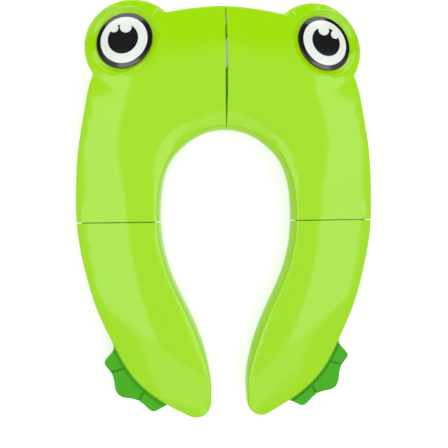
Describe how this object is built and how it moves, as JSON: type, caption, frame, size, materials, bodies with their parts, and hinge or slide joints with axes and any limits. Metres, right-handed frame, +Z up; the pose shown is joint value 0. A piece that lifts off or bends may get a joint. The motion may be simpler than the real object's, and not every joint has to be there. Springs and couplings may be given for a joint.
{
  "type": "folding toddler toilet seat",
  "caption": "Folding seat that rests on an adult toilet and makes its opening smaller for a toddler, shaped like a wide-eyed frog with webbed feet and an open front.",
  "frame": {"origin": "under the middle of the seat's plan, at the lowest point, the knuckles of the centre hinge", "axes": "+X to the seat's right-hand side seen from above with the eyes at the back, +Y to the rear where the eyes are, +Z up"},
  "size_m": [0.2754, 0.3832, 0.0385],
  "materials": {
    "shell": "glossy moulded polypropylene, yellow-green",
    "eye": "glossy, black with a white ring and a black pupil",
    "foot": "satin moulded plastic, darker green",
    "pad": "soft matt silicone",
    "steel": "plain bright steel"
  },
  "bodies": {
    "rear_left": {"rear_left_shell": "shell", "left_eye_disc": "eye", "left_rear_side_pad": "pad", "left_rear_back_pad": "pad", "left_side_hinge_pin": "steel", "centre_hinge_pin": "steel"},
    "front_left": {"front_left_shell": "shell", "left_foot": "foot", "left_foot_screws": "steel", "left_front_side_pad": "pad", "left_front_tip_pad": "pad"},
    "rear_right": {"rear_right_shell": "shell", "right_eye_disc": "eye", "right_rear_side_pad": "pad", "right_rear_back_pad": "pad", "right_side_hinge_pin": "steel"},
    "front_right": {"front_right_shell": "shell", "right_foot": "foot", "right_foot_screws": "steel", "right_front_side_pad": "pad", "right_front_tip_pad": "pad"}
  },
  "joints": [
    {"name": "centre_fold", "type": "hinge", "parent": "rear_left", "child": "rear_right", "pos_m": [0, 0.105, 0.0035], "axis": [0, 1, 0], "range_deg": [0, 180]},
    {"name": "left_front_fold", "type": "hinge", "parent": "rear_left", "child": "front_left", "pos_m": [-0.098, -0.0115, 0.0188], "axis": [1, 0, 0], "range_deg": [0, 180]},
    {"name": "right_front_fold", "type": "hinge", "parent": "rear_right", "child": "front_right", "pos_m": [0.098, -0.0115, 0.0188], "axis": [1, 0, 0], "range_deg": [0, 180]}
  ]
}
